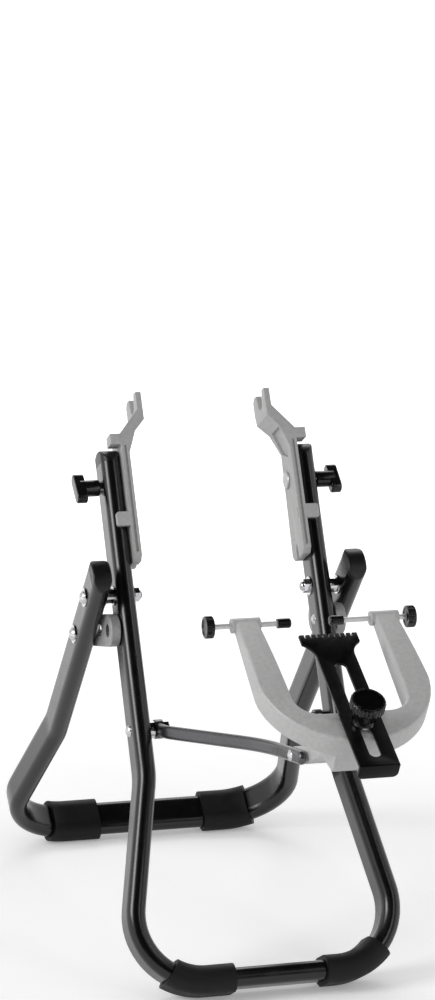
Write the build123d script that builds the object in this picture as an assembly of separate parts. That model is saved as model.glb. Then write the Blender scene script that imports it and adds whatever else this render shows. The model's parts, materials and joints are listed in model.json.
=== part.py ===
"""Folding stand for truing spoked rims.

Two bent tube frames cross at a pivot and stand on rubber sleeves. The front frame carries two cast
drop arms for the axle, and a swinging gauge with two side screws and a comb plate.

Frame of the finished model: X right, Y to the back, Z up, origin on the floor under the middle.
Each group is built flat in its own frame: x across, y up or back along it, z square to it.
"""
from build123d import *
import math
import os

# Tube, the same for both frames
tube_thick = 15.0
tube_deep = 30.0
tube_wall = 1.5
knee_radius = 70.0
corner_radius = 50.0

# Front frame, measured along its own lean from the fold pivot
front_lean = 30.8
front_half = 81.2
front_top_reach = 107.4
front_knee_drop = 147.6
front_base_drop = 307.8
front_base_half = 113.8

# Rear frame, hinged outside the front one
leg_gap = 8.5
rear_lean = 39.0
rear_top_reach = 25.8
rear_knee_drop = 182.5
rear_base_half = 129.5

# Rubber sleeves that the stand rests on
sleeve_wall = 3.6
sleeve_clearance = 0.1
sole_flat = 0.6
front_sleeve_straight = 15.9
front_sleeve_length = 50.0
rear_sleeve_straight = 23.7
rear_sleeve_length = 44.0
sleeve_slip = 5.0

# Plugs in the tube ends, crowned across the tube
front_plug_crown = 10.0
rear_plug_crown = 9.0
plug_skirt = 1.5
plug_depth = 12.0
plug_edge = 1.4
plug_clearance = 0.1

# Clearances shared by all the pieces
running_clearance = 0.08
side_play = 0.15
body_gap = 0.35
overrun = 2.0

# Fold pivot stack
pivot_shank = 3.0
pivot_head = 5.6
pivot_head_rise = 3.4
pivot_washer = 7.6
pivot_washer_thick = 1.0
pivot_spacer = 6.0
pivot_nut_flats = 10.0
pivot_nut_thick = 4.4
pivot_nut_dome = 3.2

# Slotted stays that set how far the frames open
stay_rivet_drop = 28.0
stay_bolt_drop = 50.0
stay_height = 25.6
stay_shank = 2.5
stay_slot_height = 10.0
stay_slot_start = 19.0
stay_slot_end = 53.3
stay_end_wall = 8.5
stay_tilt = 2.5
stay_edge = 1.0
rivet_head = 4.2
rivet_head_rise = 1.8
rivet_flush_head = 5.0
rivet_flush_thick = 1.6

# Axle, held in the open ends of the drop arms
hub_width = 100.0
axle_radius = 5.0
axle_play = 1.6
axle_reach = 153.7
axle_ahead = 2.7

# Drop arms, drawn along the front frame's leg
arm_gap = 0.5
arm_thick = 6.3
arm_bottom = 23.0
arm_front = 19.5
arm_rear = 12.0
arm_corner = 4.5
arm_rear_top = 7.2
arm_shoulder = 112.0
arm_knuckle_share = 0.652
arm_knuckle_inset = 6.6
arm_bolt_inset = 18.4
shelf_gap = 0.4
shelf_thick = 8.5
shelf_reach = 8.3
shelf_deep = 13.0
lug_bottom = 51.8
lug_height = 11.4
lug_reach = 10.6
groove_width = 2.2
groove_depth = 1.6
groove_low = 30.0
groove_high = 118.0
arm_pocket_depth = 2.6
arm_pocket_wall = 3.2
arm_notch_width = 5.0
arm_notch_top = 35.0
arm_notch_depth = 1.8
arm_notch_ahead = 2.0
arm_mark_width = 1.6
arm_mark_length = 9.0
arm_mark_depth = 0.8
arm_mark_reach = 56.5
arm_mark_ahead = 16.6
arm_edge = 0.8

# Fork end of the drop arm, measured from the axle
fork_thick = 4.5
fork_rise = 9.4
fork_front = 14.8
fork_rear = 18.0
fork_foot = 14.1
fork_corner = 3.4
fork_mouth = 16.0
fork_heel = 5.5

# Arm bolt and its wing nut
arm_shank = 3.0
disc_head = 7.2
disc_head_thick = 1.6
wing_washer = 5.2
wing_washer_thick = 1.4
wing_barrel = 6.6
wing_barrel_length = 15.6
wing_bore_depth = 13.2
wing_span = 27.0
wing_width = 10.5
wing_thick = 8.5
wing_turn = 66.0
wing_edge = 1.2
wing_thread = 11.6

# Gauge bars and their pivots on the front frame
gauge_pivot_drop = 109.2
gauge_tilt = 12.0
bush_radius = 6.8
bush_thick = 5.1
bar_thick = 6.0
bar_height = 10.5
bar_eye = 7.6
bar_straight = 25.0
bar_end_half = 23.5
bar_waist_reach = 150.0
bar_end_reach = 236.0
bar_bend = 40.0
bar_sweep_bend = 200.0
gauge_bolt_head = 5.0
gauge_bolt_rise = 3.2
gauge_shank = 3.0
gauge_nut_flats = 10.0
gauge_nut_thick = 5.0
bar_rivet_shank = 2.4
bar_rivet_head = 4.4
bar_rivet_rise = 1.8
bar_rivet_reach = 214.0

# Calliper casting, measured from the axis of the side screws
screw_reach = 199.9
screw_rise = 94.1
calliper_incline = 26.3
boss_radius = 5.4
boss_inner = 42.2
boss_outer = 63.4
arm_outer_at_boss = 61.0
arm_inner_at_boss = 44.5
calliper_half = 63.5
calliper_arc_drop = 72.0
calliper_bottom = 132.0
throat_half = 42.5
throat_drop = 85.5
throat_radius = 18.0
top_at_boss = 5.0
top_mid = 9.0
top_full = 9.5
under_at_boss = 5.0
under_mid = 7.2
under_full = 8.5
full_drop = 85.0
mid_drop = 42.0
casting_edge = 2.0
rim_share = 0.9

# Tongue between the bars, and the lug that joins it to the casting
tongue_clearance = 0.1
tongue_start = 202.0
tongue_half_height = 5.0
tongue_corner = 2.0
tongue_bottom_end = 228.0
tongue_top_end = 232.0
lug_half = 19.2
lug_arch_share = 0.81
lug_arch_height = 4.5
lug_low_drop = 111.7
lug_low_depth = 28.5
lug_front_drop = 129.0
lug_front_depth = 23.4
lug_back_drop = 106.0

# Comb plate
comb_thick = 2.3
comb_edge_drop = 26.5
comb_length = 134.5
comb_half = 14.2
comb_front_half = 14.7
comb_head_half = 21.8
comb_ear = 9.0
comb_neck_drop = 21.5
comb_slot = 8.8
comb_slot_start = 30.5
comb_slot_end = 125.5
comb_tab = 9.3
comb_tab_corner = 4.0
comb_tooth_count = 10
comb_tooth_width = 1.3
comb_tooth_depth = 3.4

# Comb clamp: stud, washer and round knob
stud_drop = 118.0
stud_radius = 3.9
stud_depth = 10.0
comb_washer = 8.4
comb_washer_thick = 1.5
knob_foot = 6.6
knob_neck = 8.8
knob_taper_height = 9.2
knob_flare_height = 3.0
knob_radius = 12.6
knob_head_height = 7.4
knob_edge = 1.0
knob_recess = 10.2
knob_recess_depth = 1.6
knob_bore_depth = 12.0
knob_flute = 1.0
knob_flute_count = 26
cap_disc_thick = 1.1

# Side screws
screw_radius = 2.0
screw_length = 59.0
left_tip_gap = 18.5
right_tip_gap = 10.9
tip_radius = 3.6
tip_length = 10.2
tip_round = 1.6
tip_socket = 6.0
screw_knob = 8.1
screw_knob_thick = 6.0
screw_knob_edge = 1.0
screw_knob_dish = 5.6
screw_knob_dish_depth = 0.9
screw_knob_socket = 4.0

# Places that follow from the sizes above
front_face_out = front_half + tube_thick / 2
front_face_in = front_half - tube_thick / 2
rear_half = front_half + tube_thick + leg_gap
rear_face_in = rear_half - tube_thick / 2
rear_face_out = rear_half + tube_thick / 2
sleeve_bottom = tube_thick / 2 + sleeve_clearance + sleeve_wall - sole_flat
tube_core = (tube_deep - tube_thick) / 2
front_base_height = sleeve_bottom + tube_core * math.sin(math.radians(front_lean))
rear_base_height = sleeve_bottom + tube_core * math.sin(math.radians(rear_lean))
pivot_height = front_base_height + front_base_drop * math.cos(math.radians(front_lean))
rear_base_drop = (pivot_height - rear_base_height) / math.cos(math.radians(rear_lean))
stay_thick = leg_gap - 2 * body_gap
arm_out = front_face_in - arm_gap
arm_in = arm_out - arm_thick
fork_in = hub_width / 2 + axle_play
fork_out = fork_in + fork_thick
arm_bolt_reach = front_top_reach - arm_bolt_inset
arm_neck = axle_reach - fork_foot - arm_shoulder
arm_knuckle_reach = arm_shoulder + arm_knuckle_share * arm_neck
shelf_low = front_top_reach + plug_skirt + front_plug_crown + shelf_gap
bar_out = front_face_in - bush_thick - side_play
bar_in = bar_out - bar_thick
gauge_start = (bar_out + bar_in) / 2
bar_end_in = bar_end_half - bar_thick / 2
bar_end_out = bar_end_half + bar_thick / 2
calliper_turn = gauge_tilt + calliper_incline
comb_under = top_full + body_gap
comb_top = comb_under + comb_thick
knob_base = comb_top + body_gap + comb_washer_thick

# Frames of the groups, with the fold pivot at Y zero
front_frame_place = Plane(
    origin=(0, 0, pivot_height),
    x_dir=(1, 0, 0),
    z_dir=(0, -math.cos(math.radians(front_lean)), math.sin(math.radians(front_lean))),
).location
rear_frame_place = Plane(
    origin=(0, 0, pivot_height),
    x_dir=(1, 0, 0),
    z_dir=(0, -math.cos(math.radians(rear_lean)), -math.sin(math.radians(rear_lean))),
).location
gauge_place = Location(
    (
        0,
        -gauge_pivot_drop * math.sin(math.radians(front_lean)),
        pivot_height - gauge_pivot_drop * math.cos(math.radians(front_lean)),
    ),
    (-gauge_tilt, 0, 0),
)
calliper_place = gauge_place * Location(
    (0, -screw_reach, screw_rise), (calliper_turn, 0, 0)
)


def along_x(radius, start, end, y=0.0, z=0.0):
    """Round bar along X, from start to end."""
    low = min(start, end)
    bar = Cylinder(radius, abs(end - start), align=(Align.CENTER, Align.CENTER, Align.MIN))
    return Pos(low, y, z) * Rot(0, 90, 0) * bar


def dome_x(radius, rise, base, side, y=0.0, z=0.0):
    """Domed head on X: its flat side at base, its crown towards side."""
    ball = (radius ** 2 + rise ** 2) / (2 * rise)
    middle = math.asin(radius / ball) / 2
    crown = (ball - rise)
    profile = make_face([
        Line((0, 0), (0, radius)),
        ThreePointArc(
            (0, radius),
            (ball * math.cos(middle) - crown, ball * math.sin(middle)),
            (rise, 0),
        ),
        Line((rise, 0), (0, 0)),
    ])
    head = revolve(profile, Axis.X)
    if side < 0:
        head = mirror(head, about=Plane.YZ)
    return Pos(base, y, z) * head


def hex_x(flats, start, end, y=0.0, z=0.0):
    """Hexagonal bar along X."""
    outline = RegularPolygon(flats / 2, 6, major_radius=False)
    return Pos(min(start, end), y, z) * Rot(0, 90, 0) * extrude(outline, abs(end - start))


def both_sides(shape):
    """The shape and its mirror image, as one group."""
    return Compound(children=[*shape.solids(), *mirror(shape, about=Plane.YZ).solids()])


def oval(extra=0.0):
    """Section of the tube, grown by extra all round, long side along x."""
    return SlotOverall(tube_deep + 2 * extra, tube_thick + 2 * extra)


def swept_oval(path, section):
    """Sweep a section along a flat path, its long side square to the path's plane."""
    start = Plane(origin=path @ 0, x_dir=(0, 0, 1), z_dir=path % 0)
    return sweep(start * section, path=path)


def bent_frame(half, top, knee, base_half, base, hole_places):
    """U of oval tube, open at the top, with holes across both legs."""
    path = FilletPolyline(
        (half, top),
        (half, -knee),
        (base_half, -base),
        (-base_half, -base),
        (-half, -knee),
        (-half, top),
        radius=[knee_radius, corner_radius, corner_radius, knee_radius],
    )
    frame = swept_oval(path, oval()) - swept_oval(path, oval(-tube_wall))
    for place, radius in hole_places:
        reach = half + tube_thick
        frame -= along_x(radius, -reach, reach, place)
    return frame


def front_frame():
    holes = (
        (0, pivot_shank + running_clearance),
        (-stay_rivet_drop, stay_shank + running_clearance),
        (-gauge_pivot_drop, gauge_shank + running_clearance),
        (arm_bolt_reach, arm_shank + running_clearance),
    )
    return bent_frame(
        front_half, front_top_reach, front_knee_drop, front_base_half, front_base_drop, holes
    )


def rear_frame():
    holes = (
        (0, pivot_shank + running_clearance),
        (-stay_bolt_drop, stay_shank + running_clearance),
    )
    return bent_frame(
        rear_half, rear_top_reach, rear_knee_drop, rear_base_half, rear_base_drop, holes
    )


def sleeve(straight, length, half, knee, base_half, base, place):
    """Rubber sleeve on the base bar, round the start of the corner, cut flat where it stands."""
    flare = math.atan2(base_half - half, base - knee)
    tangent = corner_radius * math.tan((math.pi / 2 + flare) / 2)
    arc_start = base_half - tangent
    turn = math.degrees((length - straight) / corner_radius)
    line = Line((arc_start - straight, -base), (arc_start, -base))
    bend = JernArc((arc_start, -base), (1, 0), corner_radius, turn)
    section = oval(sleeve_clearance + sleeve_wall) - oval(sleeve_clearance)
    tube = place * swept_oval(line + bend, section)
    under = Pos(0, 0, -sleeve_bottom) * Box(
        2 * (base_half + base), 2 * (base_half + base), 2 * sleeve_bottom,
    )
    return tube - under


def sleeve_pair(straight, length, *shape):
    """Left and right sleeves, slid on a little towards +X."""
    right = sleeve(straight - sleeve_slip, length, *shape)
    left = mirror(sleeve(straight + sleeve_slip, length, *shape), about=Plane.YZ)
    return left, right


def end_plug(crown):
    """Plug for a tube end, its head crowned across the tube and flush with its sides."""
    stem = Pos(0, 0, -plug_depth) * extrude(oval(-tube_wall - plug_clearance), plug_depth)
    bow = (tube_deep ** 2 / 4 + crown ** 2) / (2 * crown)
    roller = Pos(0, 0, plug_skirt + crown - bow) * Rot(90, 0, 0) * Cylinder(bow, 2 * tube_thick)
    head = extrude(oval(), plug_skirt + crown) & roller
    top = head.faces().filter_by(GeomType.CYLINDER).sort_by(Axis.Z)[-1]
    head = fillet(top.outer_wire().edges(), plug_edge)
    return Rot(-90, 0, 0) * Rot(0, 0, 90) * (stem + head)


def front_plug():
    return Pos(front_half, front_top_reach, 0) * end_plug(front_plug_crown)


def rear_plug():
    return Pos(rear_half, rear_top_reach, 0) * end_plug(rear_plug_crown)


def pivot_bolt():
    head_base = rear_face_out + side_play + pivot_washer_thick
    nut_end = front_face_in - pivot_washer_thick - pivot_nut_thick
    shank = along_x(pivot_shank, nut_end, head_base)
    return shank + dome_x(pivot_head, pivot_head_rise, head_base, 1)


def pivot_washers():
    """Outer, two round the spacer, and inner."""
    stack = (
        rear_face_out + side_play,
        rear_face_in - side_play - pivot_washer_thick,
        front_face_out,
        front_face_in - pivot_washer_thick,
    )
    rings = [
        along_x(pivot_washer, start, start + pivot_washer_thick)
        - along_x(pivot_shank + running_clearance, start - overrun, start + overrun)
        for start in stack
    ]
    return Compound(children=rings)


def pivot_spacer_tube():
    start = front_face_out + pivot_washer_thick
    end = rear_face_in - side_play - pivot_washer_thick
    bore = along_x(pivot_shank + running_clearance, start - overrun, end + overrun)
    return along_x(pivot_spacer, start, end) - bore


def pivot_nut():
    """Acorn nut on the inner end of the pivot bolt."""
    outer = front_face_in - pivot_washer_thick
    inner = outer - pivot_nut_thick
    body = hex_x(pivot_nut_flats, inner, outer) & along_x(
        pivot_nut_flats / 2 + plug_edge / 2, inner, outer
    )
    body += dome_x(pivot_nut_flats / 2 - plug_edge / 2, pivot_nut_dome, inner, -1)
    return body - along_x(pivot_shank, inner, outer + overrun)


def stay():
    """Slotted stay in the gap between the legs, drawn level from its rivet."""
    reach = stay_slot_end + stay_end_wall
    nose = stay_height / 2
    plate = Pos((reach - nose) / 2, 0) * SlotOverall(reach + nose, stay_height)
    slot_length = stay_slot_end - stay_slot_start
    plate -= Pos(stay_slot_start + slot_length / 2, 0) * SlotOverall(slot_length, stay_slot_height)
    body = Pos(front_face_out + body_gap, 0, 0) * extrude(Plane.YZ * plate, stay_thick)
    rims = body.edges().filter_by(GeomType.CIRCLE).group_by(SortBy.RADIUS)[-1]
    body = fillet(rims, stay_edge)
    outer = front_face_out + body_gap + stay_thick
    body -= along_x(stay_shank + running_clearance, front_face_out, outer + overrun)
    recess = rivet_flush_thick + body_gap
    return body - along_x(rivet_flush_head + body_gap, outer - recess, outer + overrun)


def stay_angle():
    """Direction from the rivet to the bolt, seen in the front frame's own axes."""
    open_angle = math.radians(front_lean + rear_lean)
    back = stay_bolt_drop * math.sin(open_angle)
    up = stay_rivet_drop - stay_bolt_drop * math.cos(open_angle)
    return math.degrees(math.atan2(up, back))


def placed_stay():
    """The stay turned so that its slot runs past the bolt."""
    turn = stay_angle() + stay_tilt - 90
    return Pos(0, -stay_rivet_drop, 0) * Rot(turn, 0, 0) * stay()


def stay_rivet():
    """Rivet through the front leg, its outer head flush in the stay."""
    outer = front_face_out + body_gap + stay_thick
    flush = outer - rivet_flush_thick
    y = -stay_rivet_drop
    body = along_x(stay_shank, front_face_in, flush, y)
    body += along_x(rivet_flush_head, flush, outer, y)
    return body + dome_x(rivet_head, rivet_head_rise, front_face_in, -1, y)


def stay_bolt():
    """Bolt through the rear leg, its end in the stay's slot."""
    base = rear_face_out + pivot_washer_thick
    y = -stay_bolt_drop
    body = along_x(stay_shank, front_face_out + body_gap, base, y)
    return body + dome_x(pivot_head, pivot_head_rise, base, 1, y)


def stay_bolt_washer():
    y = -stay_bolt_drop
    ring = along_x(pivot_washer, rear_face_out, rear_face_out + pivot_washer_thick, y)
    return ring - along_x(stay_shank, rear_face_out, rear_face_out + 2 * overrun, y)


def arm_outline():
    """Drop arm seen from the side: along the leg, then ahead of its centre line."""
    top = axle_reach + fork_rise
    foot = axle_reach - fork_foot
    fore = axle_ahead + fork_front
    aft = axle_ahead - fork_rear
    slope = (arm_rear - arm_rear_top) / (arm_shoulder - arm_bottom)
    return make_face(Polyline(
        (arm_bottom, arm_front - arm_corner),
        (arm_bottom + arm_corner, arm_front),
        (arm_shoulder + shelf_thick, arm_front),
        (foot, fore + arm_edge),
        (top - arm_edge, fore),
        (top, fore - arm_edge),
        (top, aft + fork_corner),
        (top - fork_corner, aft),
        (axle_reach - axle_radius, aft),
        (foot, aft + (arm_shoulder - arm_bottom) * slope / 2),
        (arm_shoulder, -arm_rear_top),
        (arm_bottom + arm_corner, -arm_rear + arm_corner * slope),
        (arm_bottom, -arm_rear + arm_corner),
        close=True,
    ))


def arm_profile():
    """Drop arm seen from the front: plate, slanting neck and fork, each side its own line."""
    top = axle_reach + fork_rise
    knuckle = arm_in - arm_knuckle_inset
    return make_face(Polyline(
        (arm_in, arm_bottom),
        (arm_in, arm_shoulder),
        (knuckle, arm_knuckle_reach),
        (fork_in, axle_reach - fork_foot),
        (fork_in, top),
        (fork_out, top),
        (fork_out, axle_reach - fork_heel),
        (arm_out, shelf_low + shelf_thick),
        (arm_out, arm_bottom),
        close=True,
    ))


def fork_slot():
    """Axle slot, opening to a wide mouth at the fork's top."""
    top = fork_rise + overrun
    widen = (fork_mouth / 2 - axle_radius) * top / fork_rise
    slot = make_face([
        Line((0, axle_radius), (top, axle_radius + widen)),
        Line((top, axle_radius + widen), (top, -axle_radius - widen)),
        Line((top, -axle_radius - widen), (0, -axle_radius)),
        ThreePointArc((0, -axle_radius), (-axle_radius, 0), (0, axle_radius)),
    ])
    cutter = extrude(Plane.YZ * slot, arm_out)
    return Pos(0, axle_reach, axle_ahead) * cutter


def arm_relief():
    """Hollows in the arm's inner side: neck pocket, notch at the foot and a short mark."""
    floor = arm_in + arm_pocket_depth
    web = arm_in - arm_knuckle_inset
    pocket = make_face(Polyline(
        (arm_shoulder - 2 * arm_pocket_wall, arm_front - 3 * arm_pocket_wall),
        (arm_knuckle_reach, arm_front - arm_pocket_wall),
        (arm_knuckle_reach, -arm_rear_top + arm_pocket_wall),
        (arm_shoulder, -arm_rear_top + arm_pocket_wall),
        close=True,
    ))
    slab = Pos(web - overrun, 0, 0) * extrude(Plane.YZ * pocket, floor - web + overrun)
    behind = make_face(Polyline(
        (web - 2 * overrun, arm_shoulder - 2 * arm_pocket_wall),
        (floor, arm_shoulder - 2 * arm_pocket_wall),
        (floor, arm_shoulder),
        (web + arm_pocket_depth, arm_knuckle_reach),
        (web - 2 * overrun, arm_knuckle_reach),
        close=True,
    ))
    shape = slab & Pos(0, 0, -arm_rear) * extrude(behind, arm_rear + arm_front)
    notch = make_face(Polyline(
        (arm_bottom - overrun, arm_notch_ahead - arm_notch_width / 2),
        (arm_notch_top - arm_notch_width, arm_notch_ahead - arm_notch_width / 2),
        (arm_notch_top, arm_notch_ahead),
        (arm_notch_top - arm_notch_width, arm_notch_ahead + arm_notch_width / 2),
        (arm_bottom - overrun, arm_notch_ahead + arm_notch_width / 2),
        close=True,
    ))
    shape += Pos(arm_in - overrun, 0, 0) * extrude(Plane.YZ * notch, arm_notch_depth + overrun)
    mark = Pos(arm_mark_reach, arm_mark_ahead) * SlotOverall(arm_mark_length, arm_mark_width)
    return shape + Pos(arm_in - overrun, 0, 0) * extrude(
        Plane.YZ * mark, arm_mark_depth + overrun
    )


def drop_arm():
    side = extrude(Plane.YZ * arm_outline(), arm_out + overrun)
    front = Pos(0, 0, -arm_front - fork_rear) * extrude(arm_profile(), 2 * (arm_front + fork_rear))
    body = side & front
    body += Pos(arm_out, shelf_low, arm_front - shelf_deep) * Box(
        shelf_reach, shelf_thick, shelf_deep, align=Align.MIN
    )
    lug_back = tube_deep / 2 + body_gap
    lug_thick = arm_front - lug_back
    lug = Pos(arm_out, lug_bottom, lug_back) * Box(lug_reach, lug_height, lug_thick, align=Align.MIN)
    body += fillet(lug.edges().filter_by(Axis.Z).group_by(Axis.X)[-1], lug_thick / 2)
    groove_x = arm_out - arm_thick / 2 - groove_width / 2
    body -= Pos(groove_x, groove_low, arm_front - groove_depth) * Box(
        groove_width, groove_high - groove_low, groove_depth + overrun, align=Align.MIN
    )
    body -= fork_slot()
    body -= arm_relief()
    return body - along_x(arm_shank, arm_in - overrun, arm_out + overrun, arm_bolt_reach)


def arm_bolt():
    """Disc-headed bolt from the inside of the arm, out through the tube."""
    y = arm_bolt_reach
    end = front_face_out + wing_washer_thick + body_gap + wing_thread
    body = along_x(arm_shank, arm_in, end, y)
    disc = along_x(disc_head, arm_in - disc_head_thick, arm_in, y)
    rim = disc.edges().filter_by(GeomType.CIRCLE).sort_by(Axis.X)[0]
    return body + chamfer(rim, arm_edge)


def wing_washer_ring():
    y = arm_bolt_reach
    start = front_face_out
    ring = along_x(wing_washer, start, start + wing_washer_thick, y)
    return ring - along_x(arm_shank + running_clearance, start - overrun, start + 2 * overrun, y)


def wing_nut():
    """Moulded nut: a round barrel with two ears across its outer end."""
    start = front_face_out + wing_washer_thick + body_gap
    end = start + wing_barrel_length
    barrel = Cylinder(
        wing_barrel, wing_barrel_length, align=(Align.CENTER, Align.CENTER, Align.MIN)
    )
    barrel = chamfer(barrel.faces().sort_by(Axis.Z)[0].edges(), arm_edge)
    ears = extrude(SlotOverall(wing_span, wing_width), wing_thick)
    ears = fillet(ears.faces().filter_by(Axis.Z).edges(), wing_edge)
    ears = Pos(0, 0, wing_barrel_length - wing_thick / 2) * ears
    body = barrel + ears
    body -= Cylinder(
        arm_shank + running_clearance, wing_bore_depth,
        align=(Align.CENTER, Align.CENTER, Align.MIN),
    )
    turned = Rot(0, 90, 0) * Rot(0, 0, wing_turn) * body
    return Pos(end - wing_barrel_length, arm_bolt_reach, 0) * turned


def gauge_bolt():
    """Bolt that the gauge swings on, through the front leg, the bush and the bar."""
    y = -gauge_pivot_drop
    body = along_x(gauge_shank, bar_in - side_play - gauge_nut_thick, front_face_out, y)
    return body + dome_x(gauge_bolt_head, gauge_bolt_rise, front_face_out, 1, y)


def gauge_bush():
    y = -gauge_pivot_drop
    ring = along_x(bush_radius, front_face_in - bush_thick, front_face_in, y)
    bore = along_x(gauge_shank + running_clearance, bar_in, front_face_in + overrun, y)
    return chamfer(ring.edges().filter_by(GeomType.CIRCLE).sort_by(Axis.X)[0], arm_edge) - bore


def gauge_nut():
    y = -gauge_pivot_drop
    outer = bar_in - side_play
    inner = outer - gauge_nut_thick
    body = hex_x(gauge_nut_flats, inner, outer, y) & along_x(
        gauge_nut_flats / 2 + plug_edge / 2, inner, outer, y
    )
    return body - along_x(gauge_shank, inner - overrun, outer + overrun, y)


def gauge_bar():
    """Right-hand bar: an eye on the gauge bolt, a long sweep inwards and a rounded end."""
    stop = bar_end_reach - bar_height / 2
    path = FilletPolyline(
        (gauge_start, 0),
        (gauge_start, -bar_straight),
        (bar_end_half, -bar_waist_reach),
        (bar_end_half, -stop),
        radius=[bar_bend, bar_sweep_bend],
    )
    bar = swept_oval(path, SlotOverall(bar_height, bar_thick))
    half = SlotOverall(bar_height, bar_thick, rotation=90) & Pos(0, bar_height / 2) * Rectangle(
        2 * bar_height, bar_height
    )
    bar += Pos(bar_end_half, -stop, 0) * revolve(Plane.XZ * half, Axis.X)
    bar += along_x(bar_eye, bar_in, bar_out)
    bar -= along_x(gauge_shank + running_clearance, bar_in - overrun, bar_out + overrun)
    return bar - along_x(bar_rivet_shank, 0, bar_end_out + overrun, -bar_rivet_reach)


def gauge_rivet():
    """Long rivet through both bars and the tongue, with a domed head on each side."""
    pin = along_x(bar_rivet_shank, -bar_end_out, bar_end_out, -bar_rivet_reach)
    head = dome_x(bar_rivet_head, bar_rivet_rise, bar_end_out, 1, -bar_rivet_reach)
    return pin + head + mirror(head, about=Plane.YZ)


def calliper_plan():
    """Plan of the calliper: a U seen square to its face."""
    corner = throat_radius * math.sqrt(2) / 2
    arc_x = throat_half - throat_radius
    return make_face([
        Line((arm_outer_at_boss, 0), (calliper_half, -calliper_arc_drop)),
        ThreePointArc(
            (calliper_half, -calliper_arc_drop),
            (0, -calliper_bottom),
            (-calliper_half, -calliper_arc_drop),
        ),
        Line((-calliper_half, -calliper_arc_drop), (-arm_outer_at_boss, 0)),
        Line((-arm_outer_at_boss, 0), (-arm_inner_at_boss, 0)),
        Line((-arm_inner_at_boss, 0), (-throat_half, -throat_drop)),
        ThreePointArc(
            (-throat_half, -throat_drop),
            (-arc_x - corner, -throat_drop - corner),
            (-arc_x, -throat_drop - throat_radius),
        ),
        Line((-arc_x, -throat_drop - throat_radius), (arc_x, -throat_drop - throat_radius)),
        ThreePointArc(
            (arc_x, -throat_drop - throat_radius),
            (arc_x + corner, -throat_drop - corner),
            (throat_half, -throat_drop),
        ),
        Line((throat_half, -throat_drop), (arm_inner_at_boss, 0)),
        Line((arm_inner_at_boss, 0), (arm_outer_at_boss, 0)),
    ])


def calliper_side():
    """Side view of the calliper: thin at the bosses, full depth at the bend."""
    end = calliper_bottom + overrun
    return make_face([
        Line((overrun, top_at_boss), (0, top_at_boss)),
        ThreePointArc((0, top_at_boss), (-mid_drop, top_mid), (-full_drop, top_full)),
        Line((-full_drop, top_full), (-end, top_full)),
        Line((-end, top_full), (-end, -under_full)),
        Line((-end, -under_full), (-full_drop, -under_full)),
        ThreePointArc((-full_drop, -under_full), (-mid_drop, -under_mid), (0, -under_at_boss)),
        Line((0, -under_at_boss), (overrun, -under_at_boss)),
        Line((overrun, -under_at_boss), (overrun, top_at_boss)),
    ])


def calliper_body():
    deep = top_full + under_full + 2 * overrun
    plan = Pos(0, 0, -under_full - overrun) * extrude(calliper_plan(), deep)
    side = extrude(Plane.YZ * calliper_side(), 2 * (calliper_half + overrun))
    body = plan & (Pos(-calliper_half - overrun, 0, 0) * side)
    flats = body.faces().filter_by(lambda face: abs(face.normal_at().Z) > rim_share)
    rims = ShapeList([edge for face in flats for edge in face.outer_wire().edges()])
    body = fillet([edge for edge in rims if abs(edge.center().X) > casting_edge], casting_edge)
    for sign in (-1, 1):
        body += along_x(boss_radius, sign * boss_inner, sign * boss_outer)
    for sign in (-1, 1):
        start = sign * (boss_inner - overrun)
        body -= along_x(screw_radius + running_clearance, start, sign * (boss_outer + overrun))
    return body


def stud_hole():
    low = top_full - stud_depth
    return Pos(0, -stud_drop, low) * Cylinder(
        stud_radius, stud_depth + overrun, align=(Align.CENTER, Align.CENTER, Align.MIN)
    )


def lug_point(drop, depth):
    """A point under the calliper, as reach and height in the bars' own frame."""
    turn = math.radians(calliper_turn)
    reach = screw_reach + drop * math.cos(turn) - depth * math.sin(turn)
    height = screw_rise - drop * math.sin(turn) - depth * math.cos(turn)
    return -reach, height


def calliper_lug():
    """Tongue between the bars and the lug under the calliper, drawn in the bars' own frame."""
    tongue = Pos(-(tongue_start + tongue_top_end) / 2, 0) * RectangleRounded(
        tongue_top_end - tongue_start, 2 * tongue_half_height, tongue_corner
    )
    low = lug_point(lug_low_drop, lug_low_depth)
    arch = -tongue_bottom_end + lug_arch_share * (low[0] + tongue_bottom_end)
    lug = make_face(Polyline(
        (-tongue_bottom_end, -tongue_half_height),
        (arch, lug_arch_height),
        low,
        lug_point(lug_front_drop, lug_front_depth),
        lug_point(lug_front_drop, 0),
        lug_point(lug_back_drop, 0),
        lug_point(lug_back_drop, under_full),
        (-tongue_top_end, tongue_half_height),
        (-tongue_bottom_end + tongue_corner, tongue_half_height),
        (-tongue_bottom_end + tongue_corner, -tongue_half_height),
        close=True,
    ))
    body = extrude(Plane.YZ * tongue, bar_end_in - tongue_clearance, both=True)
    return body + extrude(Plane.YZ * lug, lug_half, both=True)


def gauge_casting():
    """Calliper and its lug, in the place they take on the bars."""
    body = calliper_place * calliper_body() + gauge_place * calliper_lug()
    body -= calliper_place * stud_hole()
    return body - gauge_place * along_x(
        bar_rivet_shank, -bar_end_out, bar_end_out, -bar_rivet_reach
    )


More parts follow.
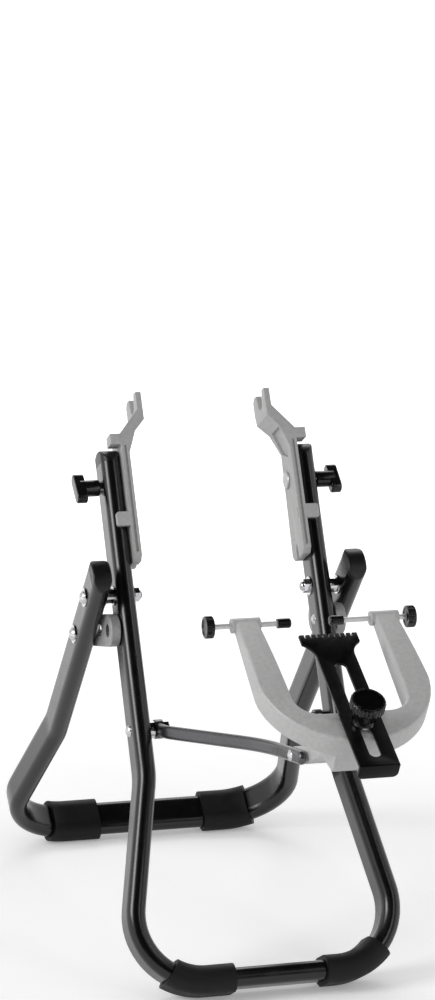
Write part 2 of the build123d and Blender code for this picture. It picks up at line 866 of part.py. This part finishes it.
def comb_plan():
    """Comb plate seen square: toothed head, narrow neck and a long slot."""
    front = -comb_edge_drop - comb_length
    top = -comb_edge_drop
    right = [
        Line((0, top), (comb_head_half, top)),
        Line((comb_head_half, top), (comb_head_half, top - comb_ear)),
        ThreePointArc(
            (comb_head_half, top - comb_ear),
            (comb_half + (comb_head_half - comb_half) / 4, top - (comb_ear + comb_neck_drop) / 2),
            (comb_half, top - comb_neck_drop),
        ),
        Line((comb_half, top - comb_neck_drop), (comb_front_half, front)),
        Line((comb_front_half, front), (0, front)),
    ]
    half = make_face([*right, Line((0, front), (0, top))])
    plan = half + mirror(half, about=Plane.YZ)
    slot_length = comb_slot_end - comb_slot_start
    slot = Pos(0, top - (comb_slot_start + comb_slot_end) / 2) * Rot(0, 0, 90) * SlotOverall(
        slot_length, comb_slot
    )
    plan -= slot
    pitch = 2 * comb_head_half / comb_tooth_count
    for count in range(comb_tooth_count - 1):
        x = (count + 1) * pitch - comb_head_half
        plan -= Pos(x, top) * Rectangle(comb_tooth_width, 2 * comb_tooth_depth)
    return plan


def comb_plate():
    body = Pos(0, 0, comb_under) * extrude(comb_plan(), comb_thick)
    front = -comb_edge_drop - comb_length
    tab = Pos(0, front + comb_thick, comb_top) * Box(
        2 * comb_front_half, comb_thick, comb_tab + comb_thick, align=(Align.CENTER, Align.MAX, Align.MAX)
    )
    tab = fillet(tab.edges().filter_by(Axis.Y).group_by(Axis.Z)[0], comb_tab_corner)
    return body + tab


def comb_stud():
    low = top_full - stud_depth
    high = knob_base + knob_bore_depth - body_gap
    return Pos(0, -stud_drop, low) * Cylinder(
        stud_radius, high - low, align=(Align.CENTER, Align.CENTER, Align.MIN)
    )


def comb_washer_ring():
    low = comb_top + body_gap
    ring = Cylinder(
        comb_washer, comb_washer_thick, align=(Align.CENTER, Align.CENTER, Align.MIN)
    )
    ring -= Cylinder(stud_radius + running_clearance, 2 * (comb_washer_thick + overrun))
    return Pos(0, -stud_drop, low) * ring


def comb_knob():
    """Round fluted knob on a tapered foot, with a shallow recess in its face."""
    shoulder = knob_taper_height + knob_flare_height
    top = shoulder + knob_head_height
    profile = make_face(Polyline(
        (0, 0),
        (knob_foot, 0),
        (knob_neck, knob_taper_height),
        (knob_radius - knob_edge, shoulder),
        (knob_radius, shoulder + knob_edge),
        (knob_radius, top - knob_edge),
        (knob_radius - knob_edge, top),
        (knob_recess, top),
        (knob_recess, top - knob_recess_depth),
        (0, top - knob_recess_depth),
        close=True,
    ))
    body = revolve(Plane.XZ * profile, Axis.Z)
    flute = Pos(knob_radius + knob_flute / 3, 0, shoulder + knob_edge) * Cylinder(
        knob_flute, knob_head_height, align=(Align.CENTER, Align.CENTER, Align.MIN)
    )
    for count in range(knob_flute_count):
        body -= Rot(0, 0, count * 360 / knob_flute_count) * flute
    body -= Cylinder(
        stud_radius + running_clearance, knob_bore_depth,
        align=(Align.CENTER, Align.CENTER, Align.MIN),
    )
    return Pos(0, -stud_drop, knob_base) * body


def comb_knob_disc():
    """Plain disc set in the knob's face."""
    floor = knob_taper_height + knob_flare_height + knob_head_height - knob_recess_depth
    disc = Cylinder(
        knob_recess - plug_clearance, cap_disc_thick, align=(Align.CENTER, Align.CENTER, Align.MIN)
    )
    disc = chamfer(disc.faces().sort_by(Axis.Z)[-1].edges(), cap_disc_thick / 2)
    return Pos(0, -stud_drop, knob_base + floor) * disc


def side_screw(tip_gap):
    """Plain shaft of a right-hand side screw."""
    start = tip_gap + tip_length - tip_socket
    end = tip_gap + screw_length + screw_knob_socket
    return along_x(screw_radius, start, end)


def screw_tip(tip_gap):
    """Blunt tip on the inner end of the shaft."""
    body = along_x(tip_radius, tip_gap, tip_gap + tip_length)
    rim = body.edges().filter_by(GeomType.CIRCLE).sort_by(Axis.X)[0]
    body = fillet(rim, tip_round)
    socket = tip_gap + tip_length - tip_socket
    return body - along_x(screw_radius, socket, tip_gap + tip_length + overrun)


def side_knob(tip_gap):
    """Flat round knob with a dished face."""
    start = tip_gap + screw_length
    end = start + screw_knob_thick
    body = along_x(screw_knob, start, end)
    body = fillet(body.edges().filter_by(GeomType.CIRCLE), screw_knob_edge)
    dish = dome_x(screw_knob_dish, screw_knob_dish_depth, end, -1)
    return body - dish - along_x(screw_radius + running_clearance, start - overrun,
                                 start + screw_knob_socket)


def front_group():
    plug = front_plug()
    front_shape = (front_half, front_knee_drop, front_base_half, front_base_drop, front_frame_place)
    left_sleeve, right_sleeve = sleeve_pair(front_sleeve_straight, front_sleeve_length, *front_shape)
    parts = {
        "front_frame": front_frame(),
        "front_plug_right": plug,
        "front_plug_left": mirror(plug, about=Plane.YZ),
        "pivot_bolts": both_sides(pivot_bolt()),
        "pivot_nuts": both_sides(pivot_nut()),
        "pivot_washers": both_sides(pivot_washers()),
        "pivot_spacers": both_sides(pivot_spacer_tube()),
        "stay_rivets": both_sides(stay_rivet()),
        "wing_washers": both_sides(wing_washer_ring()),
        "gauge_bolts": both_sides(gauge_bolt()),
        "gauge_bushes": both_sides(gauge_bush()),
        "gauge_nuts": both_sides(gauge_nut()),
    }
    placed = {name: front_frame_place * shape for name, shape in parts.items()}
    placed["front_foot_left"] = left_sleeve
    placed["front_foot_right"] = right_sleeve
    return placed


def rear_group():
    plug = rear_plug()
    rear_shape = (rear_half, rear_knee_drop, rear_base_half, rear_base_drop, rear_frame_place)
    left_sleeve, right_sleeve = sleeve_pair(rear_sleeve_straight, rear_sleeve_length, *rear_shape)
    parts = {
        "rear_frame": rear_frame(),
        "rear_plug_right": plug,
        "rear_plug_left": mirror(plug, about=Plane.YZ),
        "stay_bolts": both_sides(stay_bolt()),
        "stay_bolt_washers": both_sides(stay_bolt_washer()),
    }
    placed = {name: rear_frame_place * shape for name, shape in parts.items()}
    placed["rear_foot_left"] = left_sleeve
    placed["rear_foot_right"] = right_sleeve
    return placed


def paired_group():
    """Pieces of the front frame that move, one on each side."""
    right = {
        "stay": placed_stay(),
        "drop_arm": drop_arm(),
        "arm_bolt": arm_bolt(),
        "wing_nut": wing_nut(),
    }
    placed = {}
    for name, shape in right.items():
        placed[name + "_right"] = front_frame_place * shape
        placed[name + "_left"] = front_frame_place * mirror(shape, about=Plane.YZ)
    return placed


def gauge_group():
    placed = {
        "gauge_bar_right": gauge_place * gauge_bar(),
        "gauge_bar_left": gauge_place * mirror(gauge_bar(), about=Plane.YZ),
        "gauge_rivet": gauge_place * gauge_rivet(),
        "gauge_casting": gauge_casting(),
        "comb_plate": calliper_place * comb_plate(),
        "comb_stud": calliper_place * comb_stud(),
        "comb_washer": calliper_place * comb_washer_ring(),
        "comb_knob": calliper_place * comb_knob(),
        "comb_knob_disc": calliper_place * comb_knob_disc(),
    }
    for side, tip_gap in (("right", right_tip_gap), ("left", left_tip_gap)):
        pieces = {
            "side_screw_": side_screw(tip_gap),
            "screw_tip_": screw_tip(tip_gap),
            "screw_knob_": side_knob(tip_gap),
        }
        for name, shape in pieces.items():
            if side == "left":
                shape = mirror(shape, about=Plane.YZ)
            placed[name + side] = calliper_place * shape
    return placed


def stand():
    """Every piece by name, with the middle of the stand's footprint at the origin."""
    pieces = {**front_group(), **rear_group(), **paired_group(), **gauge_group()}
    boxes = [shape.bounding_box() for shape in pieces.values()]
    middle = (min(box.min.Y for box in boxes) + max(box.max.Y for box in boxes)) / 2
    return middle, {name: Pos(0, -middle, 0) * shape for name, shape in pieces.items()}


pivot_y, pieces = stand()
pivot_y = -pivot_y
os.makedirs("parts", exist_ok=True)
for name, shape in pieces.items():
    solids = shape.solids()
    export_step(solids[0] if len(solids) == 1 else Compound(children=solids), f"parts/{name}.step")
print("fold pivot at Y", round(pivot_y, 3), "Z", round(pivot_height, 3), "pieces", len(pieces))
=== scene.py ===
"""Looks of the folding wheel truing stand: finishes, softened castings, knurled knobs and studio."""
import json
import math
import bpy
from mathutils import Matrix, Vector

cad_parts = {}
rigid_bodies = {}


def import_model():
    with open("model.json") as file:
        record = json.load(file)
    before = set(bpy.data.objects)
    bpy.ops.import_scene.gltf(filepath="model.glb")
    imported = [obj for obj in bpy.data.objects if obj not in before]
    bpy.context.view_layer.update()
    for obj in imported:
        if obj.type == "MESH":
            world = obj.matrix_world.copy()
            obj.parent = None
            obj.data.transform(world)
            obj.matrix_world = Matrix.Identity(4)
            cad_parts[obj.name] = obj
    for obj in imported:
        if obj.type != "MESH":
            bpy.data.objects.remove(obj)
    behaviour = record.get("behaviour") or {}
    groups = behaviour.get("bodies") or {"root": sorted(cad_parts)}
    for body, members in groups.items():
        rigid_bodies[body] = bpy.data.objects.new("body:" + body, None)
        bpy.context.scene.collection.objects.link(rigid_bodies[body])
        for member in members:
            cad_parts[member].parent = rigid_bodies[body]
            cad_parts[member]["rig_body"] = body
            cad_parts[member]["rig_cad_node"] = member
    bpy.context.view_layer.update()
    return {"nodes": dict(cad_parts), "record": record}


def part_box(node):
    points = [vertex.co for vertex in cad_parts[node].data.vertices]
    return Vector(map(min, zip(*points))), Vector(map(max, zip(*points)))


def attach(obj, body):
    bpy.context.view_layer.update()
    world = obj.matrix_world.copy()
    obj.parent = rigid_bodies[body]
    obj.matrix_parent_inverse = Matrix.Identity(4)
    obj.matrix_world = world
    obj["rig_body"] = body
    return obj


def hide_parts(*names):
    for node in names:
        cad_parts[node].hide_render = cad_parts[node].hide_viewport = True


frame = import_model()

nodes = frame["nodes"]
mm = 0.001
sides = ("left", "right")


def linear(code):
    """An sRGB hex colour as linear red, green, blue and alpha."""
    parts = [int(code[i:i + 2], 16) / 255 for i in (1, 3, 5)]
    flat = [c / 12.92 if c <= 0.04045 else ((c + 0.055) / 1.055) ** 2.4 for c in parts]
    return (*flat, 1.0)


def put(tree, kind, inputs=(), **settings):
    """Add a node with its settings; an input takes a value or another node's output."""
    node = tree.nodes.new(kind)
    for name, value in settings.items():
        setattr(node, name, value)
    for socket, value in dict(inputs).items():
        if isinstance(value, bpy.types.NodeSocket):
            tree.links.new(value, node.inputs[socket])
        else:
            node.inputs[socket].default_value = value
    return node


def emptied(owner):
    """The node tree of a new material or world, with nothing in it."""
    owner.use_nodes = True
    owner.node_tree.nodes.clear()
    return owner.node_tree


def finish(name, colours, pattern_mm, rough, bump_mm, stretch=(1, 1, 1), grain_mm=None, **shader):
    """A finish with a mottled colour, an uneven sheen and a fine relief, all from sizes in mm."""
    material = bpy.data.materials.new(name)
    tree = emptied(material)
    place = put(tree, "ShaderNodeTexCoord").outputs["Object"]
    drawn = put(tree, "ShaderNodeMapping", {"Vector": place, "Scale": stretch}).outputs["Vector"]
    mottle = put(tree, "ShaderNodeTexNoise", {
        "Vector": drawn, "Scale": 1 / (pattern_mm * mm), "Detail": 5.0, "Roughness": 0.6})
    noise_low, noise_high = 0.3, 0.7
    colour = put(tree, "ShaderNodeValToRGB", {"Fac": mottle.outputs["Fac"]})
    for stop, code, noise in zip(colour.color_ramp.elements, colours, (noise_low, noise_high)):
        stop.color = linear(code)
        stop.position = noise
    sheen = put(tree, "ShaderNodeMapRange", {
        "Value": mottle.outputs["Fac"], "From Min": noise_low, "From Max": noise_high,
        "To Min": rough[0], "To Max": rough[1]})
    grain = put(tree, "ShaderNodeTexNoise", {
        "Vector": drawn, "Scale": 1 / ((grain_mm or pattern_mm / 4) * mm), "Detail": 3.0})
    relief = put(tree, "ShaderNodeBump", {
        "Height": grain.outputs["Fac"], "Distance": bump_mm * mm, "Strength": 0.6})
    surface = put(tree, "ShaderNodeBsdfPrincipled", {
        "Base Color": colour.outputs["Color"], "Roughness": sheen.outputs["Result"],
        "Normal": relief.outputs["Normal"], **shader})
    put(tree, "ShaderNodeOutputMaterial", {"Surface": surface.outputs["BSDF"]})
    return material


# Stoved black enamel over steel tube: satin, so that lights draw out into soft lines along it
enamel = finish("satin_black_enamel", ("#0a0a0b", "#0f0f10"), 14.0, (0.21, 0.28), 0.006,
                grain_mm=2.2, IOR=1.48, **{"Coat Weight": 0.08, "Coat Roughness": 0.12})
# Moulded rubber sleeve: dull charcoal with a pebbled skin
sleeve_rubber = finish("moulded_rubber", ("#0a0a0b", "#111112"), 9.0, (0.5, 0.66), 0.06,
                       grain_mm=0.9, **{"Specular IOR Level": 0.3})
# Soft vinyl tube plug: as black as the sleeves, but smoother and with more shine
plug_vinyl = finish("vinyl_plug", ("#0a0a0b", "#121213"), 5.0, (0.34, 0.46), 0.04,
                    grain_mm=1.2, **{"Specular IOR Level": 0.4})
# Gravity-cast aluminium, tumbled: light grey with the dull sand grain of the mould
cast_aluminium = finish("tumbled_cast_aluminium", ("#b2b2b2", "#c1c1c0"), 3.0, (0.44, 0.58), 0.08,
                        grain_mm=0.9, Metallic=0.15)
# The same metal on the drop arms: its colour painted darker, as painted shade for the dimmer light
# on them, and a little duller
painted_shade_casting = finish("painted_shade_cast_aluminium", ("#a7a7a7", "#b5b5b4"), 3.0, (0.46, 0.6), 0.08,
                         grain_mm=0.9, Metallic=0.15)
# Zinc plated plate, tumbled: dull grey, mottled where the plating has bloomed
zinc_strip = finish("zinc_plated_plate", ("#8e8e8f", "#a6a6a7"), 2.4, (0.42, 0.54), 0.03,
                    grain_mm=0.8, Metallic=0.35)
# Zinc on the large flat bolt heads: smooth light grey with a soft shine, duller than chrome
zinc_head = finish("bright_zinc_head", ("#a4a4a6", "#b4b4b6"), 2.0, (0.34, 0.44), 0.004,
                   grain_mm=0.8, Metallic=0.5)
# Rolled bar, plated dull and handled: darker steel with a soft sheen along it
rolled_bar = finish("rolled_steel_bar", ("#525254", "#5e5e60"), 8.0, (0.24, 0.32), 0.001,
                    stretch=(1.0, 0.15, 1.0), grain_mm=0.9, Metallic=0.85)
# Black oxide on pressed sheet: nearly matte and evenly black
black_oxide = finish("black_oxide_sheet", ("#050506", "#0a0a0a"), 4.0, (0.3, 0.42), 0.015,
                     grain_mm=0.6, **{"Specular IOR Level": 0.14})
# Moulded glass-filled nylon: satin black with a spark-eroded mould texture
nylon = finish("moulded_nylon", ("#0b0b0c", "#131314"), 3.0, (0.2, 0.3), 0.01,
               grain_mm=0.5, **{"Specular IOR Level": 0.4})
# Polished insert in the knob's face: a darker black, glossier
gloss_insert = finish("gloss_plastic_insert", ("#060607", "#0b0b0c"), 6.0, (0.1, 0.18), 0.004,
                      grain_mm=2.0, **{"Specular IOR Level": 0.3})
# Bright chrome on fastener heads: mirror-like, a little uneven in its shine
chrome = finish("bright_chrome", ("#b9b9bc", "#cbcbcd"), 2.5, (0.12, 0.22), 0.002,
                grain_mm=1.0, Metallic=1.0)
# Ground steel shaft: pale and smooth, with a broad soft shine
ground_shaft = finish("ground_steel_shaft", ("#dadadc", "#e4e4e5"), 9.0, (0.38, 0.46), 0.0003,
                      stretch=(2.0, 0.6, 0.6), grain_mm=0.6, Metallic=0.45)

finish_of_node = {
    "front_frame": enamel, "rear_frame": enamel, "gauge_casting": cast_aluminium,
    "comb_plate": black_oxide, "comb_knob": nylon, "comb_knob_disc": gloss_insert,
    "comb_stud": ground_shaft,
}
finish_of_pair = {
    "front_foot": sleeve_rubber, "rear_foot": sleeve_rubber,
    "front_plug": plug_vinyl, "rear_plug": plug_vinyl,
    "drop_arm": painted_shade_casting, "arm_bolt": zinc_head, "wing_nut": nylon,
    "stay": zinc_strip, "gauge_bar": rolled_bar,
    "side_screw": ground_shaft, "screw_tip": nylon, "screw_knob": nylon,
}
for stem, material in finish_of_pair.items():
    for side in sides:
        finish_of_node[stem + "_" + side] = material


def dress(piece, material):
    """Give the whole piece one material."""
    piece.data.materials.clear()
    piece.data.materials.append(material)
    for face in piece.data.polygons:
        face.material_index = 0


for name, node in nodes.items():
    dress(node, finish_of_node.get(name, chrome))

body_of_node = {
    name: body for body, names in frame["record"]["behaviour"]["bodies"].items() for name in names
}


def only(piece):
    """Make a piece the one thing selected and active."""
    if bpy.context.mode != "OBJECT":
        bpy.ops.object.mode_set(mode="OBJECT")
    bpy.ops.object.select_all(action="DESELECT")
    piece.select_set(True)
    bpy.context.view_layer.objects.active = piece


def settle(piece, node, material):
    """Put a finished piece in place of a node: place into the mesh, smooth, finish, body."""
    crease_degrees = 35.0
    only(piece)
    bpy.ops.object.transform_apply(location=True, rotation=True, scale=True)
    bpy.ops.object.shade_smooth_by_angle(angle=math.radians(crease_degrees))
    dress(piece, material)
    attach(piece, body_of_node[node])
    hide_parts(node)


def softened(node, name, width_mm, material):
    """A node's own shape with its hard edges rounded, as a casting, moulding or pressing has."""
    weld_mm = 0.003
    flat_degrees = 0.5
    hard_edge_degrees = 32.0
    only(nodes[node])
    bpy.ops.object.duplicate()
    piece = bpy.context.view_layer.objects.active
    piece.name = name
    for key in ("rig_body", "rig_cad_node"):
        if key in piece:
            del piece[key]
    piece.parent = None
    only(piece)
    bpy.ops.object.mode_set(mode="EDIT")
    bpy.ops.mesh.select_all(action="SELECT")
    bpy.ops.mesh.remove_doubles(threshold=weld_mm * mm)
    bpy.ops.mesh.dissolve_limited(angle_limit=math.radians(flat_degrees))
    bpy.ops.object.mode_set(mode="OBJECT")
    edge = piece.modifiers.new("edge", "BEVEL")
    edge.width = width_mm * mm
    edge.segments = 2
    edge.limit_method = "ANGLE"
    edge.angle_limit = math.radians(hard_edge_degrees)
    bpy.ops.object.modifier_apply(modifier="edge")
    settle(piece, node, material)


for side in sides:
    softened("drop_arm_" + side, "drop_arm_cast_" + side, 0.9, painted_shade_casting)
    softened("wing_nut_" + side, "wing_nut_moulding_" + side, 0.5, nylon)
softened("comb_plate", "comb_pressing", 0.35, black_oxide)
softened("comb_knob", "comb_knob_moulding", 0.25, nylon)
softened("gauge_casting", "gauge_cast_softened", 0.5, cast_aluminium)

knurl_ribs = 40
knurl_depth = 0.34 * mm
knob_rim = 0.6 * mm
# Each step on a knob's face: how far out along the axis in mm, then the share of the radius kept
rounded_dish = ((0, 0.84), (-0.25, 0.96), (-0.55, 0.9), (-0.3, 0.5))
recess_and_hub = ((0, 0.8), (-0.4, 0.97), (0, 0.6), (0.4, 0.95))


def knurled_knob(side):
    """Side screw knob: a drum with a fine straight knurl, rounded rims and a dished outer face."""
    node = "screw_knob_" + side
    low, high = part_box(node)
    middle = (low + high) / 2
    radius = (high.z - low.z) / 2
    thick = high.x - low.x
    out = 1 if side == "right" else -1
    bpy.ops.object.select_all(action="DESELECT")
    bpy.ops.mesh.primitive_cylinder_add(
        vertices=2 * knurl_ribs, radius=radius, depth=thick - 2 * knob_rim, location=middle,
        rotation=(0, math.radians(90), 0))
    knob = bpy.context.object
    knob.name = "screw_knob_knurled_" + side
    bpy.ops.object.transform_apply(location=True, rotation=True, scale=True)
    bpy.ops.object.mode_set(mode="EDIT")
    bpy.ops.mesh.select_mode(type="FACE")

    def start_from_cap(way):
        """Select the flat face that looks along X or against it."""
        bpy.ops.mesh.select_all(action="DESELECT")
        bpy.ops.object.mode_set(mode="OBJECT")
        for face in knob.data.polygons:
            face.select = face.normal.x * way > 0.9
        bpy.ops.object.mode_set(mode="EDIT")

    def ring(step, share):
        """Extrude the selected cap along X, then draw it in to a share of its radius."""
        bpy.ops.mesh.extrude_region_move(TRANSFORM_OT_translate={"value": (step, 0, 0)})
        bpy.ops.transform.resize(value=(1, share, share), center_override=middle)

    for way, steps in ((-out, recess_and_hub), (out, rounded_dish)):
        start_from_cap(way)
        ring(way * 0.7 * knob_rim, 1 - 0.3 * knob_rim / radius)
        ring(way * 0.3 * knob_rim, 1 - 0.7 * knob_rim / radius)
        for out_mm, share in steps:
            ring(way * out_mm * mm, share)

    rib_turn = math.pi / knurl_ribs
    bpy.ops.mesh.select_mode(type="VERT")
    bpy.ops.mesh.select_all(action="DESELECT")
    bpy.ops.object.mode_set(mode="OBJECT")
    for corner in knob.data.vertices:
        offset = corner.co - middle
        around = math.atan2(offset.z, offset.y) / rib_turn
        outside = math.hypot(offset.y, offset.z) > radius - 0.3 * knob_rim
        corner.select = outside and round(around) % 2 == 0
    bpy.ops.object.mode_set(mode="EDIT")
    groove = 1 - knurl_depth / radius
    bpy.ops.transform.resize(value=(1, groove, groove), center_override=middle)
    bpy.ops.mesh.select_all(action="SELECT")
    bpy.ops.mesh.normals_make_consistent(inside=False)
    bpy.ops.object.mode_set(mode="OBJECT")
    settle(knob, node, nylon)


for side in sides:
    knurled_knob(side)


def seen_directly(tree):
    """One for rays from the camera, off gloss and through glass, so that they meet plain white."""
    path = put(tree, "ShaderNodeLightPath")
    eye_or_gloss = put(tree, "ShaderNodeMath", {
        0: path.outputs["Is Camera Ray"], 1: path.outputs["Is Glossy Ray"]}, operation="MAXIMUM")
    return put(tree, "ShaderNodeMath", {
        0: eye_or_gloss.outputs["Value"], 1: path.outputs["Is Transmission Ray"]},
        operation="MAXIMUM").outputs["Value"]


def paint_sweep():
    """Matte white paper, lifted to plain white away from the stand; near it the shadow stays."""
    material = bpy.data.materials.new("white_paper_sweep")
    tree = emptied(material)
    place = put(tree, "ShaderNodeTexCoord").outputs["Object"]
    fibre = put(tree, "ShaderNodeTexNoise", {"Vector": place, "Scale": 1 / (40 * mm), "Detail": 4.0})
    shade = put(tree, "ShaderNodeValToRGB", {"Fac": fibre.outputs["Fac"]})
    for stop, code in zip(shade.color_ramp.elements, ("#f7f7f7", "#fbfbfb")):
        stop.color = linear(code)
    reach = put(tree, "ShaderNodeVectorMath", {0: place}, operation="LENGTH")
    lift = put(tree, "ShaderNodeMapRange", {
        "Value": reach.outputs["Value"], "From Min": 0.3, "From Max": 1.6,
        "To Min": 0.22, "To Max": 0.8}, interpolation_type="SMOOTHSTEP")
    glow = put(tree, "ShaderNodeMath", {
        0: lift.outputs["Result"], 1: seen_directly(tree)}, operation="MULTIPLY")
    paper = put(tree, "ShaderNodeBsdfPrincipled", {
        "Base Color": shade.outputs["Color"], "Roughness": 0.9, "Specular IOR Level": 0.2,
        "Emission Color": (1, 1, 1, 1), "Emission Strength": glow.outputs["Value"]})
    put(tree, "ShaderNodeOutputMaterial", {"Surface": paper.outputs["BSDF"]})
    return material


# White paper lies just under the soles, so that the two faces don't flicker into each other
floor_drop = 0.3 * mm
bpy.ops.object.select_all(action="DESELECT")
bpy.ops.mesh.primitive_plane_add(size=40.0, location=(0, 0, -floor_drop))
floor = bpy.context.object
floor.name = "floor"
bpy.ops.object.transform_apply(location=True, rotation=True, scale=True)
dress(floor, paint_sweep())

# The white room: plain white to the eye and in gloss, and about half as strong as a light
light_of_room = 0.46
world = bpy.data.worlds.new("studio")
bpy.context.scene.world = world
room = emptied(world)
glow = put(room, "ShaderNodeMapRange", {
    "Value": seen_directly(room), "To Min": light_of_room, "To Max": 1.0})
sky = put(room, "ShaderNodeBackground", {
    "Color": (1, 1, 1, 1), "Strength": glow.outputs["Result"]})
put(room, "ShaderNodeOutputWorld", {"Surface": sky.outputs["Background"]})


def soft_box(name, place, target, wide, high, power):
    """A rectangular lamp turned to its target: places and sizes in metres, power in watts."""
    light = bpy.data.lights.new(name, "AREA")
    light.shape = "RECTANGLE"
    light.size = wide
    light.size_y = high
    light.energy = power
    lamp = bpy.data.objects.new(name, light)
    bpy.context.scene.collection.objects.link(lamp)
    aim = (Vector(target) - Vector(place)).to_track_quat("-Z", "Y")
    lamp.matrix_world = Matrix.Translation(place) @ aim.to_matrix().to_4x4()


# A square key low on the left, a small strip high on the right, a tall fill and a wide back light
stand_middle = (0, 0, 0.25)
soft_box("key", (-2.33, -0.48, 1.36), stand_middle, 0.95, 0.95, 26)
soft_box("right_strip", (1.5, -1.35, 1.9), stand_middle, 0.3, 0.5, 2)
soft_box("fill", (1.3, -2.3, 1.1), (0, 0, 0.2), 0.5, 1.6, 8)
soft_box("back", (0.3, 1.9, 1.8), stand_middle, 1.6, 0.9, 12)

felt = bpy.data.materials.new("black_felt")
felt.use_nodes = True
felt_sockets = felt.node_tree.nodes["Principled BSDF"].inputs
felt_sockets["Base Color"].default_value = linear("#0a0a0a")
felt_sockets["Roughness"].default_value = 1.0
felt_sockets["Specular IOR Level"].default_value = 0.0


def black_card(name, size, place, tilt_degrees):
    """A card that gloss alone meets, which keeps the tubes deep black between their light lines."""
    bpy.ops.object.select_all(action="DESELECT")
    bpy.ops.mesh.primitive_plane_add(
        size=size, location=place, rotation=(math.radians(tilt_degrees), 0, 0))
    card = bpy.context.object
    card.name = name
    bpy.ops.object.transform_apply(location=True, rotation=True, scale=True)
    dress(card, felt)
    card.visible_camera = False
    card.visible_diffuse = False
    card.visible_transmission = False
    card.visible_shadow = False


black_card("front_card", 10.0, (0, -3.6, 1.5), 90)
black_card("top_card", 5.0, (0, 0, 3.2), 0)

# Camera at the photograph's place, which was worked out from the wheel's axle, in mm
axle_y = 143.2
eye = Vector((-709.8, -2367.9 + axle_y, 943.0)) * mm
right = Vector((0.95783, -0.28587, 0.02889))
up = Vector((0.04126, 0.23634, 0.97079))
back = Vector((-0.28435, -0.92867, 0.23817))
focal_pixels = 3136.8
picture_high_pixels = 1000
lens = bpy.data.cameras.new("camera")
lens.sensor_width = 36.0
lens.lens = focal_pixels * 36.0 / picture_high_pixels
lens.clip_end = 50.0
camera = bpy.data.objects.new("camera", lens)
bpy.context.scene.collection.objects.link(camera)
facing = Matrix((right, up, back)).transposed().to_4x4()
camera.matrix_world = Matrix.Translation(eye) @ facing
bpy.context.scene.camera = camera
bpy.context.scene.view_settings.view_transform = "Standard"
